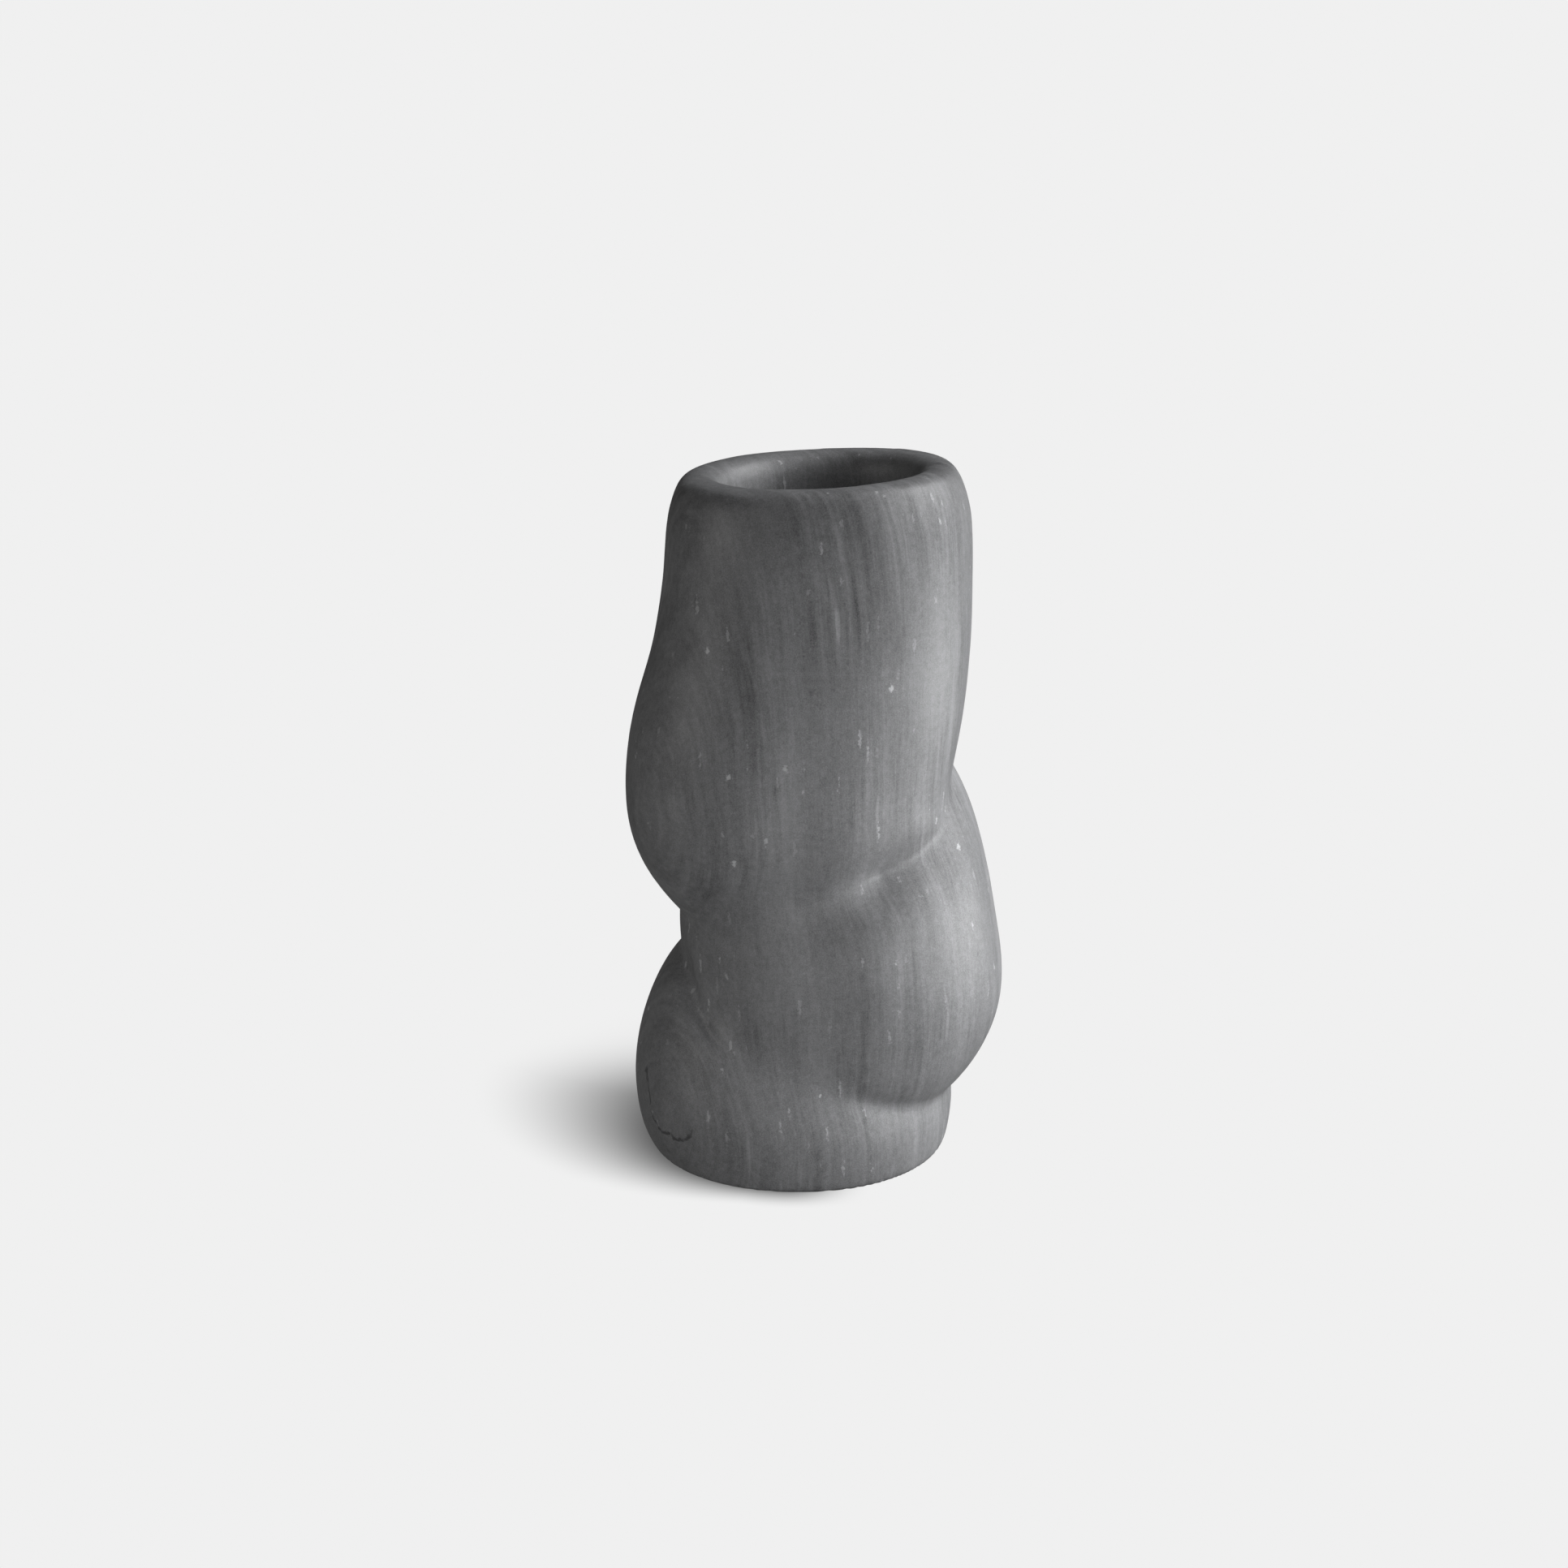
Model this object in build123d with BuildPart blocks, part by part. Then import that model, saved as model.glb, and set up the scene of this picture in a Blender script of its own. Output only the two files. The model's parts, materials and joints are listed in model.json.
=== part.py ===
"""A free-standing vase carved from one block of honed grey stone, standing on a thin round felt pad.

The block is shaped as three rounded masses that lean against each other: an upper column with the mouth,
a middle mass that swells to the right, and a lower mass that swells to the left and ends in the foot.
One hollow is bored through all three from the top. Millimetres, +Z up, front towards -Y, origin at the
centre of the foot, on the surface that the vase stands on.
"""
from math import cos, pi, sin
import os

from build123d import *

# Overall
RIM_HEIGHT = 281.0        # standing surface to the rim, measured over the middle of the mouth
RIM_SLOPE = 2.9           # degrees; the rim is a little higher on the right
RIM_FALL = 0.6            # degrees; the rim falls a little towards the back
PAD_THICKNESS = 1.0       # the pad lifts the stone by this much
OUTLINE_POINTS = 16       # points on each horizontal outline

# Each section of a mass is (height, left, right, front, back): how far its outline reaches at that height.
UPPER_MASS = (
    (86, -28, 0, -17, 25),
    (94, -40, 13, -29, 37),
    (102, -48.5, 24, -38.5, 46),
    (111, -56, 35, -46, 53),
    (120, -62, 45, -51.6, 58),
    (129, -66.2, 53.5, -55.5, 61.5),
    (138, -68.7, 59, -57.6, 63.5),
    (148, -69.8, 61, -58.5, 64.5),
    (160, -69.6, 62.7, -58.7, 65),
    (175, -67.8, 65.3, -58.5, 65),
    (192, -63.7, 67.6, -58, 65),
    (211, -58.2, 69, -57.5, 65),
    (231, -54.6, 69.4, -57, 65),
    (249, -52.8, 69.2, -56.6, 64.5),
    (263, -51.3, 68.4, -55.5, 63.5),
    (273, -48.5, 66.3, -53, 61.5),
    (281, -44.5, 62.6, -49, 58),
    (290, -38, 56.5, -43, 52),
)
MIDDLE_MASS = (
    (12, 6, 46, -22, 30),
    (20, -13, 56.5, -38, 44),
    (28, -26, 65, -48.5, 53.5),
    (36, -34.5, 71.8, -54.8, 59),
    (44, -40.5, 77, -58, 62),
    (53, -44.5, 81.3, -59.3, 64),
    (63, -46.5, 84, -60, 65),
    (74, -47.2, 84.7, -60, 65.3),
    (86, -48, 83.6, -59.4, 65),
    (99, -48.4, 81.4, -57.6, 64),
    (111, -46.2, 79.3, -54.6, 62.5),
    (122, -41.8, 76.9, -50, 60.5),
    (133, -35.5, 74, -43, 58),
    (143, -28, 70.5, -33.5, 55),
    (153, -18, 65.5, -21.5, 51),
    (163, -5, 57, -7, 45),
)
LOWER_MASS = (
    (PAD_THICKNESS, -61.3, 61.7, -64, 64),
    (6, -64, 63.4, -65.2, 65),
    (12, -65.9, 64.3, -65.8, 65.6),
    (20, -67.2, 64.7, -65.7, 66),
    (28, -67.7, 63.6, -64.4, 66),
    (36, -67.3, 60.8, -62, 65),
    (44, -66.1, 56, -59, 63),
    (54, -63.5, 48.8, -54.6, 59.5),
    (65, -59.2, 38, -46.5, 54),
    (75, -53.6, 26.8, -36.5, 46),
    (83, -47, 15, -26, 36),
    (90, -38, 3, -13, 23),
)

# How square the outlines are: 2 is an ellipse, higher is nearer a rounded square
UPPER_SQUARENESS = 2.3
MIDDLE_SQUARENESS = 2.35
LOWER_SQUARENESS = 2.1

# Edges of the stone
UPPER_CREASE_RADIUS = 3.5
LOWER_CREASE_RADIUS = 3.0
RIM_OUTER_RADIUS = 6.0
RIM_INNER_RADIUS = 8.5
FOOT_ARRIS = 0.8

# The hollow, a slightly tapered bore under the mouth
MOUTH_X = 9.0
MOUTH_Y = 6.0
HOLLOW_FLOOR = 26.0       # height of the inside floor
HOLLOW_FLOOR_RADIUS = 35.0
HOLLOW_MOUTH_RADIUS = 38.0
HOLLOW_CORNER = 14.0      # rounding where wall meets floor

# The felt pad glued under the foot
PAD_DIAMETER = 110.0


def outline(left, right, front, back, squareness):
    """Points of a rounded outline filling the box from left to right and front to back, seam at the back."""
    centre_x = (left + right) / 2
    centre_y = (front + back) / 2
    half_x = (right - left) / 2
    half_y = (back - front) / 2
    points = []
    for i in range(OUTLINE_POINTS):
        angle = pi / 2 + 2 * pi * i / OUTLINE_POINTS
        reach_x = abs(cos(angle)) ** (2 / squareness)
        reach_y = abs(sin(angle)) ** (2 / squareness)
        side_x = 1 if cos(angle) > 0 else -1
        side_y = 1 if sin(angle) > 0 else -1
        points.append((centre_x + side_x * half_x * reach_x, centre_y + side_y * half_y * reach_y))
    return points


def rounded_mass(sections, squareness):
    """One solid mass lofted smoothly through its horizontal outlines."""
    with BuildPart() as mass:
        for height, left, right, front, back in sections:
            with BuildSketch(Plane.XY.offset(height)):
                with BuildLine():
                    Spline(*outline(left, right, front, back, squareness), periodic=True)
                make_face()
        loft()
    return mass.part


def crease_between(solid, low, high):
    """The long sloping edge that lies wholly between two heights."""
    def matches(edge):
        box = edge.bounding_box()
        return edge.length > 250 and box.min.Z > low and box.max.Z < high and box.size.Z > 20
    return solid.edges().filter_by(matches)


if __name__ == "__main__":
    os.makedirs("parts", exist_ok=True)

    # The three masses
    upper = rounded_mass(UPPER_MASS, UPPER_SQUARENESS)
    middle = rounded_mass(MIDDLE_MASS, MIDDLE_SQUARENESS)
    lower = rounded_mass(LOWER_MASS, LOWER_SQUARENESS)

    # The stone: masses joined, creases softened, rim cut, hollow bored, edges rounded
    rim_plane = Plane(origin=(MOUTH_X, MOUTH_Y, RIM_HEIGHT), z_dir=(0, 0, 1)).rotated((-RIM_FALL, -RIM_SLOPE, 0))
    with BuildPart() as vase_body:
        add(upper)
        add(middle)
        add(lower)
        fillet(crease_between(vase_body, 90, 175), radius=UPPER_CREASE_RADIUS)
        fillet(crease_between(vase_body, 5, 92), radius=LOWER_CREASE_RADIUS)
        split(bisect_by=rim_plane, keep=Keep.BOTTOM)
        with Locations((MOUTH_X, MOUTH_Y, HOLLOW_FLOOR)):
            Cone(
                bottom_radius=HOLLOW_FLOOR_RADIUS,
                top_radius=HOLLOW_MOUTH_RADIUS,
                height=RIM_HEIGHT + 10 - HOLLOW_FLOOR,
                align=(Align.CENTER, Align.CENTER, Align.MIN),
                mode=Mode.SUBTRACT,
            )
        rim = vase_body.faces().sort_by(Axis.Z)[-1]
        fillet(rim.inner_wires()[0].edges(), radius=RIM_INNER_RADIUS)
        rim = vase_body.faces().filter_by(GeomType.PLANE).sort_by(Axis.Z)[-1]
        fillet(rim.outer_wire().edges(), radius=RIM_OUTER_RADIUS)
        hollow_floor_edge = vase_body.edges().filter_by(GeomType.CIRCLE).sort_by(Axis.Z)[0]
        fillet(hollow_floor_edge, radius=HOLLOW_CORNER)
        foot_face = vase_body.faces().sort_by(Axis.Z)[0]
        fillet(foot_face.edges(), radius=FOOT_ARRIS)
    vase_body.part.label = "vase_body"
    export_step(vase_body.part, "parts/vase_body.step")

    # The pad, centred under the foot
    with BuildPart() as foot_pad:
        Cylinder(
            radius=PAD_DIAMETER / 2,
            height=PAD_THICKNESS,
            align=(Align.CENTER, Align.CENTER, Align.MIN),
        )
    foot_pad.part.label = "foot_pad"
    export_step(foot_pad.part, "parts/foot_pad.step")
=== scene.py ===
import bpy, json, math, random
import numpy as np
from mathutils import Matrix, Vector, noise


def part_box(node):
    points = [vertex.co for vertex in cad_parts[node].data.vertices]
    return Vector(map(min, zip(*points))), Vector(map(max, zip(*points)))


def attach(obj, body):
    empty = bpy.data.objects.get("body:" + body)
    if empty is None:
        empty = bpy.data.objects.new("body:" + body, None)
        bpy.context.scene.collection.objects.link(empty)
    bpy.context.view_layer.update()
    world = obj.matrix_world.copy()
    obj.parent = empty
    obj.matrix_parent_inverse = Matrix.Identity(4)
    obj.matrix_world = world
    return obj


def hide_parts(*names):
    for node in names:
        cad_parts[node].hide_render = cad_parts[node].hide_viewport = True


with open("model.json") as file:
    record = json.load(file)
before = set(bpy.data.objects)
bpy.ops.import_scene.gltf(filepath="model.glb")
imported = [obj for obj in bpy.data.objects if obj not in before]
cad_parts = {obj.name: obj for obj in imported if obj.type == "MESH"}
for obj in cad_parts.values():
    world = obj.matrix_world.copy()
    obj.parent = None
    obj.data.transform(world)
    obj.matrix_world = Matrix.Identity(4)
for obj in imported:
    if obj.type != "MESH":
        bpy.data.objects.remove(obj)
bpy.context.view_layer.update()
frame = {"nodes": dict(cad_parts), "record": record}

VASE_LOW, VASE_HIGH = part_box("vase_body")
PAD_LOW, PAD_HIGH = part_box("foot_pad")
STONE_COLOUR = next(m["base_color"] for m in frame["record"]["materials"] if m["slot"] == "stone")
FELT_COLOUR = next(m["base_color"] for m in frame["record"]["materials"] if m["slot"] == "felt")

STONE_SIZE = VASE_HIGH - VASE_LOW
STONE_ROUGHNESS = 0.50
STONE_IOR = 1.5
# The layers in the stone stand nearly upright and face the front left.
BEDDING = Vector((-0.80, -0.59, -0.04)).normalized()

# The crack lies near a plane: the way the plane faces, how far it is from the origin, where on it the crack
# is seen, how far the crack reaches from there and how far it strays from the plane.
CRACK_FACING = Vector((-0.777, -0.613, 0.145))
CRACK_AT = 0.069
CRACK_MIDDLE = VASE_LOW + Vector((0.089 * STONE_SIZE.x, 0.226 * STONE_SIZE.y, 0.074 * STONE_SIZE.z))
CRACK_REACH = 0.0225
CRACK_WOBBLE = 0.006

# The sculpted mesh
MESH_STEP = 0.0017          # size of the voxels that even it out
WEAR_PASSES = 260           # how long the creases are worn
LIGHT_WEAR_PASSES = 6       # how long everything below the lip is worn
LIP_PASSES = 20             # how long the lip is rolled
SHOULDER_HEIGHT = 0.0030    # the swelling under the upper crease
SKIRT_HEIGHT = 0.0005       # the flare just above it
VALLEY_DEPTH = 0.0017       # how much deeper the crease itself is cut
TUCK_DEPTH = 0.0016         # the left end of the lower crease

# The camera sees the room and the floor much brighter than the light that they give the stone.
PAPER = 0.871               # brightness of the pale room and the floor, as the camera sees them
ROOM_FILL = 0.01            # light that reaches the stone from all round
FLOOR_BOUNCE = 0.10         # light that the floor gives the stone
COOL, WARM = (0.985, 0.99, 1.0), (1.0, 0.985, 0.97)


# ---- small helpers for node trees ----

class Tree:
    """Builds a material's nodes with short calls."""

    def __init__(self, material):
        self.tree = material.node_tree
        self.tree.nodes.clear()

    def node(self, kind, inputs=None, **settings):
        made = self.tree.nodes.new(kind)
        for name, value in settings.items():
            setattr(made, name, value)
        for name, value in (inputs or {}).items():
            socket = made.inputs[name]
            if isinstance(value, bpy.types.NodeSocket):
                self.tree.links.new(value, socket)
            else:
                socket.default_value = value
        return made

    def maths(self, operation, a, b=0.0, c=0.0):
        return self.node("ShaderNodeMath", {0: a, 1: b, 2: c}, operation=operation).outputs[0]

    def vector(self, operation, a, b=(0, 0, 0)):
        made = self.node("ShaderNodeVectorMath", {0: a, 1: b}, operation=operation)
        gives_number = operation in ("DOT_PRODUCT", "LENGTH", "DISTANCE")
        return made.outputs["Value"] if gives_number else made.outputs[0]

    def noise(self, vector, scale, detail=2.0, rough=0.5, distortion=0.0):
        made = self.node("ShaderNodeTexNoise", {"Vector": vector, "Scale": scale, "Detail": detail,
                                                "Roughness": rough, "Distortion": distortion})
        return made.outputs["Fac"]

    def scatter(self, vector, scale, detail, size):
        """A random step whose range is about this size."""
        made = self.node("ShaderNodeTexNoise", {"Vector": vector, "Scale": scale, "Detail": detail})
        centred = self.vector("SUBTRACT", made.outputs["Color"], (0.5, 0.5, 0.5))
        return self.node("ShaderNodeVectorMath", {0: centred, "Scale": size}, operation="SCALE").outputs[0]

    def tinted(self, tone, colour):
        """The colour, made lighter or darker by the tone."""
        grey = self.node("ShaderNodeCombineColor", {"Red": tone, "Green": tone, "Blue": tone}).outputs[0]
        mix = self.node("ShaderNodeMix", {"Factor": 1.0}, data_type="RGBA", blend_type="MULTIPLY")
        self.tree.links.new(grey, mix.inputs["B"])
        mix.inputs["A"].default_value = (*colour[:3], 1)
        return mix.outputs["Result"]

    def ramp(self, value, low, high, to_low=0.0, to_high=1.0, smooth=True):
        made = self.node("ShaderNodeMapRange", {"Value": value, "From Min": low, "From Max": high,
                                                "To Min": to_low, "To Max": to_high})
        made.interpolation_type = "SMOOTHSTEP" if smooth else "LINEAR"
        made.clamp = True
        return made.outputs["Result"]


def new_material(name):
    material = bpy.data.materials.new(name)
    material.use_nodes = True
    return material


# ---- the stone's finish ----

def stone_material():
    material = new_material("honed_layered_stone")
    t = Tree(material)
    place = t.node("ShaderNodeTexCoord").outputs["Object"]

    # u runs across the layers; v and w run in them, w nearly upright.
    bent = t.vector("ADD", place, t.scatter(place, 13.0, 3.0, 0.007))
    along = Vector((0, 0, 1)).cross(BEDDING).normalized()
    u = t.vector("DOT_PRODUCT", bent, BEDDING)
    v = t.vector("DOT_PRODUCT", bent, along)
    w = t.vector("DOT_PRODUCT", bent, BEDDING.cross(along).normalized())

    def layered(a, b, c):
        """Coordinates with so many features a metre across the layers, along them and up them."""
        return t.node("ShaderNodeCombineXYZ", {"X": t.maths("MULTIPLY", u, a), "Y": t.maths("MULTIPLY", v, b),
                                               "Z": t.maths("MULTIPLY", w, c)}).outputs[0]

    wide = t.noise(layered(62, 10, 6), 1.0, 3.0, 0.55)
    bands = t.noise(layered(240, 22, 10), 1.0, 3.0, 0.6)
    fine = t.noise(layered(700, 80, 34), 1.0, 2.0, 0.6)
    thread = t.noise(layered(1500, 260, 90), 1.0, 2.0, 0.6)
    grain = t.noise(place, 2300.0, 2.0, 0.6)
    mottle = t.noise(place, 420.0, 3.0, 0.6)
    cloud = t.noise(place, 26.0, 3.0, 0.55)

    # The layers show strongly in some places and hardly at all in others.
    shown = t.ramp(t.noise(layered(60, 30, 16), 1.0, 2.0), 0.32, 0.68, 0.35, 1.75)
    tone = 1.0
    for layer, weight in (
            (wide, 0.75), (bands, t.maths("MULTIPLY", shown, 0.75)), (fine, t.maths("MULTIPLY", shown, 0.50)),
            (thread, 0.28), (grain, 1.25), (mottle, 0.62), (cloud, 0.55)):
        tone = t.maths("MULTIPLY_ADD", t.maths("SUBTRACT", layer, 0.5), weight, tone)

    # Pale crystals: short grains, streaks lying in the layers, and a few long faint veins.
    def crystals(coordinates, size, share, strength):
        """Spots of this size, in cell units, in this share of the cells."""
        cells = t.node("ShaderNodeTexVoronoi", {"Vector": coordinates, "Scale": 1.0, "Randomness": 1.0})
        lot = t.node("ShaderNodeSeparateColor", {"Color": cells.outputs["Color"]})
        chosen = t.maths("GREATER_THAN", lot.outputs["Red"], 1 - share)
        spot = t.ramp(cells.outputs["Distance"], size, size * 0.4)
        bright = t.maths("MULTIPLY_ADD", lot.outputs["Green"], 0.7 * strength, 0.3 * strength)
        return t.maths("MULTIPLY", t.maths("MULTIPLY", spot, chosen), bright)

    ragged = t.scatter(place, 700.0, 2.0, 0.55)
    flecks = crystals(t.vector("ADD", layered(190, 170, 110), ragged), 0.22, 0.11, 1.6)
    streaks = crystals(t.vector("ADD", layered(260, 200, 46), ragged), 0.21, 0.32, 1.1)
    veins = crystals(layered(150, 110, 14), 0.16, 0.14, 0.6)
    pale = t.maths("ADD", t.maths("ADD", flecks, streaks), veins)
    dark = crystals(layered(150, 150, 110), 0.12, 0.04, 0.45)
    tone = t.maths("SUBTRACT", t.maths("ADD", tone, pale), dark)

    # One thin crack low on the left swell.
    wobble = t.maths("MULTIPLY", t.maths("SUBTRACT", t.noise(place, 60.0, 3.0, 0.5), 0.5), CRACK_WOBBLE)
    from_plane = t.maths("SUBTRACT", t.vector("DOT_PRODUCT", place, CRACK_FACING), CRACK_AT)
    off = t.maths("ABSOLUTE", t.maths("ADD", from_plane, wobble))
    reach = t.ramp(t.vector("DISTANCE", place, CRACK_MIDDLE), CRACK_REACH, CRACK_REACH - 0.0025)
    patchy = t.ramp(t.noise(place, 150.0, 2.0), 0.26, 0.42)
    crack = t.maths("MULTIPLY", t.maths("MULTIPLY", t.ramp(off, 0.00026, 0.00008), reach), patchy)
    tone = t.maths("MULTIPLY", tone, t.maths("MULTIPLY_ADD", crack, -0.6, 1.0))

    rough = t.maths("MULTIPLY_ADD", t.maths("SUBTRACT", bands, 0.5), 0.16, STONE_ROUGHNESS)
    rough = t.maths("MULTIPLY_ADD", pale, -0.10, rough)
    height = t.maths("ADD", t.maths("MULTIPLY", fine, 0.5), t.maths("MULTIPLY", grain, 0.5))
    height = t.maths("SUBTRACT", height, crack)
    bump = t.node("ShaderNodeBump", {"Height": height, "Strength": 0.35, "Distance": 0.00015})
    shader = t.node("ShaderNodeBsdfPrincipled", {"Base Color": t.tinted(tone, STONE_COLOUR),
                                                 "Roughness": rough, "Normal": bump.outputs["Normal"]})
    shader.inputs["IOR"].default_value = STONE_IOR
    t.node("ShaderNodeOutputMaterial", {"Surface": shader.outputs[0]})
    return material


def felt_material():
    material = new_material("felt")
    t = Tree(material)
    place = t.node("ShaderNodeTexCoord").outputs["Object"]
    fibre = t.noise(place, 1400.0, 4.0, 0.7, 1.5)
    blotch = t.noise(place, 60.0, 2.0)
    tone = t.maths("ADD", t.maths("MULTIPLY", fibre, 0.9), t.maths("MULTIPLY", blotch, 0.4))
    bump = t.node("ShaderNodeBump", {"Height": fibre, "Strength": 0.8, "Distance": 0.0004})
    shader = t.node("ShaderNodeBsdfPrincipled", {"Base Color": t.tinted(tone, FELT_COLOUR),
                                                 "Normal": bump.outputs["Normal"]})
    shader.inputs["Roughness"].default_value = 0.95
    shader.inputs["Sheen Weight"].default_value = 0.3
    t.node("ShaderNodeOutputMaterial", {"Surface": shader.outputs[0]})
    return material


# ---- the carved block ----

def smoothstep(value, low, high):
    t = np.clip((value - low) / (high - low), 0, 1)
    return t * t * (3 - 2 * t)


def near(points, centre, reach):
    """1 at the centre, falling to 0 where the scaled distance is 1; reach is a half size on each axis."""
    distance = np.sqrt((((points - np.array(centre)) / np.array(reach)) ** 2).sum(1))
    return 1 - smoothstep(distance, 0.45, 1.0)


class Sculpt:
    """Moves the vertices of a mesh the way a carver's abrasives do."""

    def __init__(self, mesh):
        self.mesh = mesh
        count = len(mesh.vertices)
        self.points = np.zeros(count * 3)
        mesh.vertices.foreach_get("co", self.points)
        self.points = self.points.reshape(-1, 3)
        edges = np.zeros(len(mesh.edges) * 2, np.int64)
        mesh.edges.foreach_get("vertices", edges)
        edges = edges.reshape(-1, 2)
        self.start = np.concatenate([edges[:, 0], edges[:, 1]])
        self.end = np.concatenate([edges[:, 1], edges[:, 0]])
        self.count = np.maximum(1, np.bincount(self.start, minlength=count))

    def pull(self):
        """From each vertex to the mean of its neighbours."""
        mean = np.stack([np.bincount(self.start, weights=self.points[self.end, k], minlength=len(self.points))
                         for k in range(3)], 1)
        return mean / self.count[:, None] - self.points

    def normals(self):
        self.apply()
        flat = np.zeros(len(self.points) * 3)
        self.mesh.vertices.foreach_get("normal", flat)
        return flat.reshape(-1, 3)

    def fill(self, weight, passes):
        """Fills hollows only: a vertex moves outwards or not at all."""
        for step in range(passes):
            if step % 10 == 0:
                normals = self.normals()
            out = np.maximum(0, (self.pull() * normals).sum(1))
            self.points += normals * (0.7 * weight * out)[:, None]

    def soften(self, weight, passes):
        for _ in range(passes):
            self.points += self.pull() * (0.6 * weight)[:, None]

    def apply(self):
        self.mesh.vertices.foreach_set("co", self.points.ravel())
        self.mesh.update()


def at(x, y, z):
    """A point by its share of the stone's width, depth and height."""
    return np.array(VASE_LOW) + np.array(STONE_SIZE) * np.array((x, y, z))


def at_x(*shares):
    return [at(share, 0, 0)[0] for share in shares]


def at_z(*shares):
    return [at(0, 0, share)[2] for share in shares]


def even_mesh(source):
    """The CAD solid's surface with points spread evenly over it."""
    mesh = source.data.copy()
    mesh.name = "carved_block"
    block = bpy.data.objects.new("carved_block", mesh)
    bpy.context.scene.collection.objects.link(block)
    block.matrix_world = source.matrix_world.copy()
    remesh = block.modifiers.new("even_mesh", "REMESH")
    remesh.mode = "VOXEL"
    remesh.voxel_size = MESH_STEP
    remesh.adaptivity = 0.0
    smooth = block.modifiers.new("settle", "SMOOTH")
    smooth.factor = 0.5
    smooth.iterations = 3
    wrap = block.modifiers.new("fit", "SHRINKWRAP")
    wrap.target = source
    wrap.wrap_method = "NEAREST_SURFACEPOINT"
    depsgraph = bpy.context.evaluated_depsgraph_get()
    even = bpy.data.meshes.new_from_object(block.evaluated_get(depsgraph))
    block.modifiers.clear()
    block.data = even
    even.name = "carved_block"
    return block


def over_upper_crease(p):
    """How far each point is above the upper crease, which climbs to the right."""
    crease_x = at_x(0.45, 0.56, 0.66, 0.72, 0.79, 0.86)
    crease_z = at_z(0.418, 0.434, 0.447, 0.463, 0.475, 0.485)
    return p[:, 2] - np.interp(p[:, 0], crease_x, crease_z)


def wear_creases(sculpt, above):
    """The creases are worn away on the left and in front, and stay sharper at the right."""
    p = sculpt.points
    upper_left = near(p, at(0.34, 0.05, 0.41), (0.056, 0.050, 0.040)) * smoothstep(p[:, 0], -0.050, -0.030)
    lower_front = near(p, at(0.36, 0.02, 0.19), (0.042, 0.050, 0.045)) * smoothstep(p[:, 0], -0.036, -0.020)
    upper_right = near(p, at(0.82, 0.22, 0.53), (0.034, 0.034, 0.034)) * smoothstep(-p[:, 1], 0.020, 0.036)
    upper_right *= smoothstep(above, -0.003, 0.005)
    sculpt.fill(np.maximum.reduce([upper_left, lower_front, upper_right]), WEAR_PASSES)
    below_lip = p[:, 2] < at_z(0.93)[0]
    sculpt.fill(0.5 * below_lip, LIGHT_WEAR_PASSES)


def facing_front(normals):
    return smoothstep(-normals[:, 1], 0.05, 0.35)


def shape_upper_crease(sculpt, above):
    """The upper mass curls in at the crease, and a shoulder of the middle mass swells out below it."""
    x = sculpt.points[:, 0]
    normals = sculpt.normals()
    skirt = np.exp(-((above - 0.012) / 0.007) ** 2)
    skirt *= smoothstep(x, *at_x(0.62, 0.74)) * (1 - smoothstep(x, *at_x(0.80, 0.90)))
    valley = np.exp(-(above / np.where(above > 0, 0.0065, 0.0130)) ** 2)
    valley *= smoothstep(x, *at_x(0.54, 0.68)) * (1 - smoothstep(x, *at_x(0.82, 0.90)))
    shoulder = smoothstep(-above, 0.0, 0.020) * (1 - smoothstep(-above, 0.020, 0.070))
    shoulder *= smoothstep(x, *at_x(0.46, 0.66)) * (1 - smoothstep(x, *at_x(0.68, 0.90)))
    out = SHOULDER_HEIGHT * shoulder + SKIRT_HEIGHT * skirt - VALLEY_DEPTH * valley
    sculpt.points += normals * (facing_front(normals) * out)[:, None]


def tuck_lower_crease(sculpt):
    """The lower mass tucks in where it meets the middle one on the left."""
    p = sculpt.points
    normals = sculpt.normals()
    crease_z = at_z(0.199, 0.207, 0.222, 0.244, 0.276, 0.314)
    crease_x = at_x(0.270, 0.236, 0.210, 0.187, 0.169, 0.158)
    edge = p[:, 0] - np.interp(p[:, 2], crease_z, crease_x)
    tuck = np.exp(-(edge / np.where(edge > 0, 0.0020, 0.0065)) ** 2) * facing_front(normals)
    tuck *= smoothstep(p[:, 2], *at_z(0.185, 0.22)) * (1 - smoothstep(p[:, 2], *at_z(0.29, 0.33)))
    sculpt.points -= normals * (TUCK_DEPTH * tuck)[:, None]


def roll_lip(sculpt):
    sculpt.soften(0.8 * smoothstep(sculpt.points[:, 2], *at_z(0.93, 0.955)), LIP_PASSES)


def carved_block():
    block = even_mesh(frame["nodes"]["vase_body"])
    sculpt = Sculpt(block.data)
    above = over_upper_crease(sculpt.points)
    wear_creases(sculpt, above)
    shape_upper_crease(sculpt, above)
    tuck_lower_crease(sculpt)
    roll_lip(sculpt)
    sculpt.apply()
    for polygon in block.data.polygons:
        polygon.use_smooth = True
    return block


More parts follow.
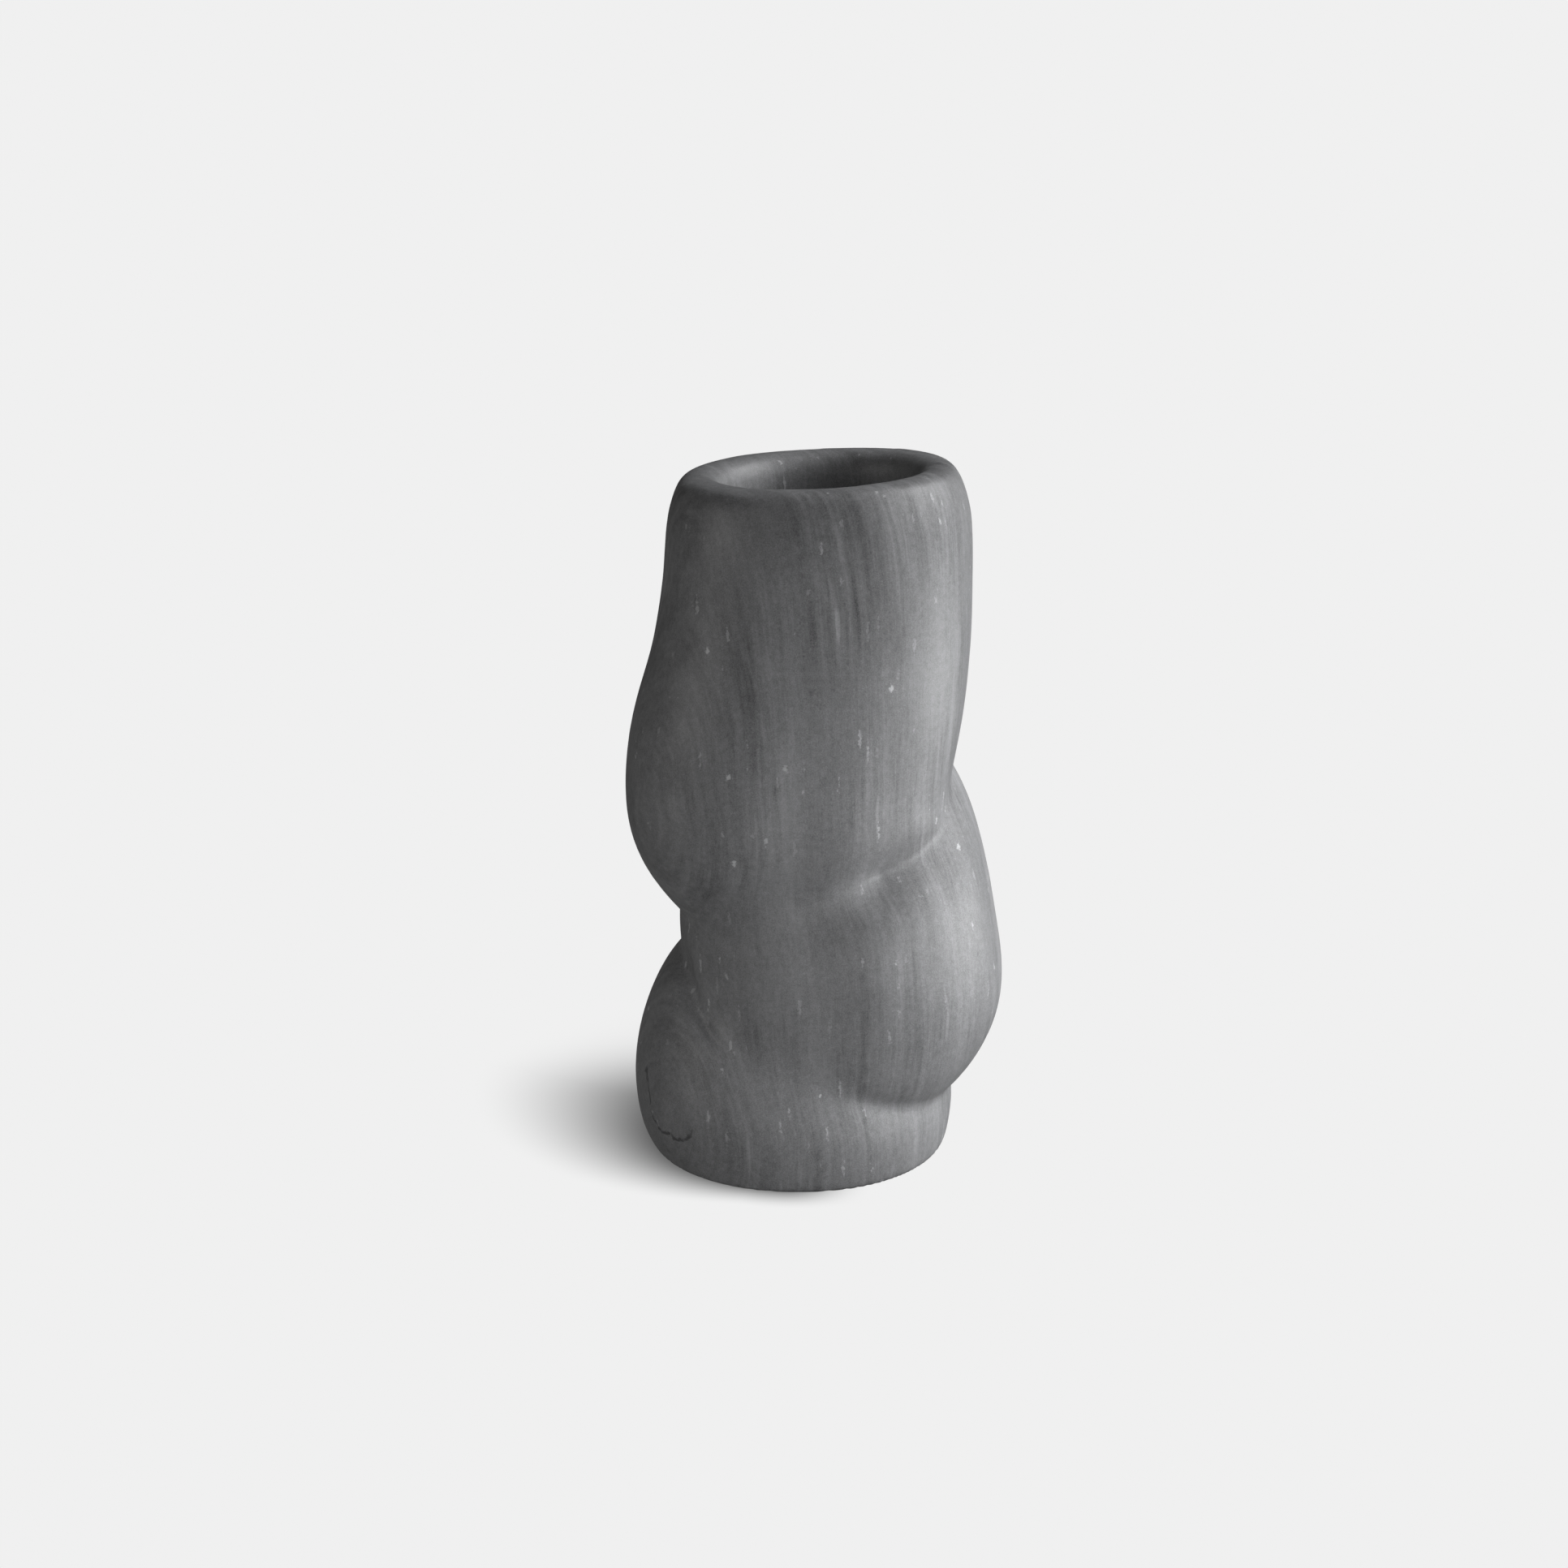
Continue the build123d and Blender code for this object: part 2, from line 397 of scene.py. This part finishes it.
def felt_disc():
    """A thin round pad with a slightly fluffy edge, made ring by ring over its underside, edge and top."""
    centre = (PAD_LOW + PAD_HIGH) / 2
    radius = (PAD_HIGH.x - PAD_LOW.x) / 2
    low, high = PAD_LOW.z, PAD_HIGH.z
    rings, spokes = 26, 144
    edge_starts = radius * 0.97
    fray = 0.0025
    fluff, fluff_below = 0.00008, 0.00006
    generator = random.Random(4)
    profile = [(radius * i / rings, low) for i in range(rings + 1)]
    profile += [(radius, low + (high - low) * share) for share in (0.33, 0.67)]
    profile += [(radius * i / rings, high) for i in range(rings, -1, -1)]
    vertices, faces = [], []
    for r, z in profile:
        for k in range(spokes):
            angle = 2 * math.pi * k / spokes
            across, along = math.cos(angle), math.sin(angle)
            soft = noise.noise(Vector((r * 200 * across, r * 200 * along, z * 900)))
            shrink = 1 - fray * (1 + generator.uniform(-1, 1)) if r > edge_starts else 1
            lift = max(0.0, fluff_below * soft) if z == low else fluff * soft
            height = min(high, max(low, z + lift))
            vertices.append((centre.x + r * shrink * across, centre.y + r * shrink * along, height))
    for i in range(len(profile) - 1):
        for k in range(spokes):
            a = i * spokes + k
            b = i * spokes + (k + 1) % spokes
            faces.append((a, b, b + spokes, a + spokes))
    mesh = bpy.data.meshes.new("felt_disc")
    mesh.from_pydata(vertices, [], faces)
    mesh.validate()
    for polygon in mesh.polygons:
        polygon.use_smooth = True
    disc = bpy.data.objects.new("felt_disc", mesh)
    bpy.context.scene.collection.objects.link(disc)
    return disc


vase = carved_block()
vase.data.materials.clear()
vase.data.materials.append(stone_material())
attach(vase, "root")
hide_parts("vase_body")

pad = felt_disc()
pad.data.materials.append(felt_material())
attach(pad, "root")
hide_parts("foot_pad")


# ---- the room: a pale sweep, with soft lights mostly on the right ----

def backdrop_world():
    world = bpy.data.worlds.new("pale_room")
    bpy.context.scene.world = world
    world.use_nodes = True
    t = Tree(world)
    seen = t.node("ShaderNodeBackground", {"Color": (PAPER, PAPER, PAPER, 1), "Strength": 1.0})
    fill = t.node("ShaderNodeBackground", {"Color": (0.97, 0.98, 1.0, 1), "Strength": ROOM_FILL})
    mix = t.node("ShaderNodeMixShader", {0: t.node("ShaderNodeLightPath").outputs["Is Camera Ray"],
                                         1: fill.outputs[0], 2: seen.outputs[0]})
    t.node("ShaderNodeOutputWorld", {"Surface": mix.outputs[0]})


def paper_floor():
    half_size = 4.0
    z = PAD_LOW.z
    corners = [(-half_size, -half_size, z), (half_size, -half_size, z), (half_size, half_size, z),
               (-half_size, half_size, z)]
    mesh = bpy.data.meshes.new("paper")
    mesh.from_pydata(corners, [], [(0, 1, 2, 3)])
    floor = bpy.data.objects.new("paper", mesh)
    bpy.context.scene.collection.objects.link(floor)
    material = new_material("paper")
    t = Tree(material)
    place = t.node("ShaderNodeTexCoord").outputs["Object"]
    part = t.node("ShaderNodeSeparateXYZ", {"Vector": place})
    x, y = part.outputs["X"], part.outputs["Y"]
    # The floor glows, so no shadow falls on it. The vase's soft shadow is drawn by this formula instead:
    # narrow under the front of the foot, wide at the left, fading out behind.
    away = t.vector("LENGTH", t.vector("MULTIPLY", place, (1.0, 1.0, 0)))
    # turn is -1 straight in front of the vase and 1 straight behind it.
    turn = t.maths("DIVIDE", y, away)
    front, behind = -0.95, 0.45
    # Where the shadow is half dark, and half the width of its edge, both from the front to the back.
    middle = t.ramp(turn, front, behind, 0.065, 0.096, smooth=False)
    half = t.ramp(turn, front, behind, 0.012, 0.064, smooth=False)
    past = t.maths("SUBTRACT", away, t.maths("SUBTRACT", middle, half))
    lit = t.maths("DIVIDE", past, t.maths("MULTIPLY", half, 2.0))
    dark = t.maths("MULTIPLY", t.ramp(lit, 0.0, 1.0, 1.0, 0.0), t.ramp(x, -0.006, 0.03, 1.0, 0.0))
    dark = t.maths("MULTIPLY", dark, t.ramp(y, 0.03, 0.12, 1.0, 0.15))
    light = t.maths("SUBTRACT", 1.0, dark)
    seen = t.node("ShaderNodeEmission", {"Color": (PAPER, PAPER, PAPER, 1), "Strength": light})
    # The bounce is the same everywhere. Given as a ramp, not a plain number, it keeps the render's grain as it was.
    even_bounce = t.ramp(x, -0.05, 0.05, FLOOR_BOUNCE, FLOOR_BOUNCE)
    bounce = t.node("ShaderNodeEmission", {"Color": (1, 1, 1, 1), "Strength": even_bounce})
    mix = t.node("ShaderNodeMixShader", {0: t.node("ShaderNodeLightPath").outputs["Is Camera Ray"],
                                         1: bounce.outputs[0], 2: seen.outputs[0]})
    t.node("ShaderNodeOutputMaterial", {"Surface": mix.outputs[0]})
    mesh.materials.append(material)


def soft_light(name, azimuth, elevation, distance, size, power, aim, colour):
    """Azimuth is in degrees from the right, positive towards the front; power is in watts."""
    a, e = math.radians(azimuth), math.radians(elevation)
    way = Vector((math.cos(a) * math.cos(e), -math.sin(a) * math.cos(e), math.sin(e)))
    data = bpy.data.lights.new(name, "AREA")
    data.shape = "RECTANGLE"
    data.size, data.size_y = size
    data.energy = power
    data.color = colour
    lamp = bpy.data.objects.new(name, data)
    bpy.context.scene.collection.objects.link(lamp)
    lamp.location = aim + way * distance
    lamp.rotation_euler = (-way).to_track_quat("-Z", "Y").to_euler()


backdrop_world()
paper_floor()
MIDDLE = Vector((0.0, 0.0, VASE_HIGH.z / 2))
FOOT = Vector((0.0, 0.0, 0.03))
WINDOW_DISTANCE, WINDOW_SIZE = 1.6, (0.7, 0.7)
STRIP_DISTANCE, STRIP_SIZE, STRIP_ELEVATION = 0.42, (0.25, 0.08), 8
for name, azimuth, elevation, power, colour in (
        ("window", 5, 28, 8.5, COOL), ("window_front", 32, 36, 4.4, COOL),
        ("window_rear", -20, 28, 3.6, COOL), ("window_top", -20, 50, 15.5, COOL),
        ("rear", -50, 10, 1.4, COOL), ("left_wall", 160, 12, 4.9, WARM)):
    soft_light(name, azimuth, elevation, WINDOW_DISTANCE, WINDOW_SIZE, power, MIDDLE, colour)
# Low strips close to the foot light it from the right round to the front.
for name, azimuth, power in (
        ("low_right", 0, 0.85), ("low_window", 30, 0.58), ("low_front", 60, 0.25), ("low_middle", 95, 0.26)):
    soft_light(name, azimuth, STRIP_ELEVATION, STRIP_DISTANCE, STRIP_SIZE, power, FOOT, COOL)

camera_data = bpy.data.cameras.new("camera")
camera_data.sensor_width = 36
camera_data.lens = 60.76
camera = bpy.data.objects.new("camera", camera_data)
bpy.context.scene.collection.objects.link(camera)
camera.location = (-0.0055, -1.028, 0.4666)
camera.rotation_euler = (math.radians(73), 0, 0)
bpy.context.scene.camera = camera
bpy.context.scene.view_settings.view_transform = "Standard"
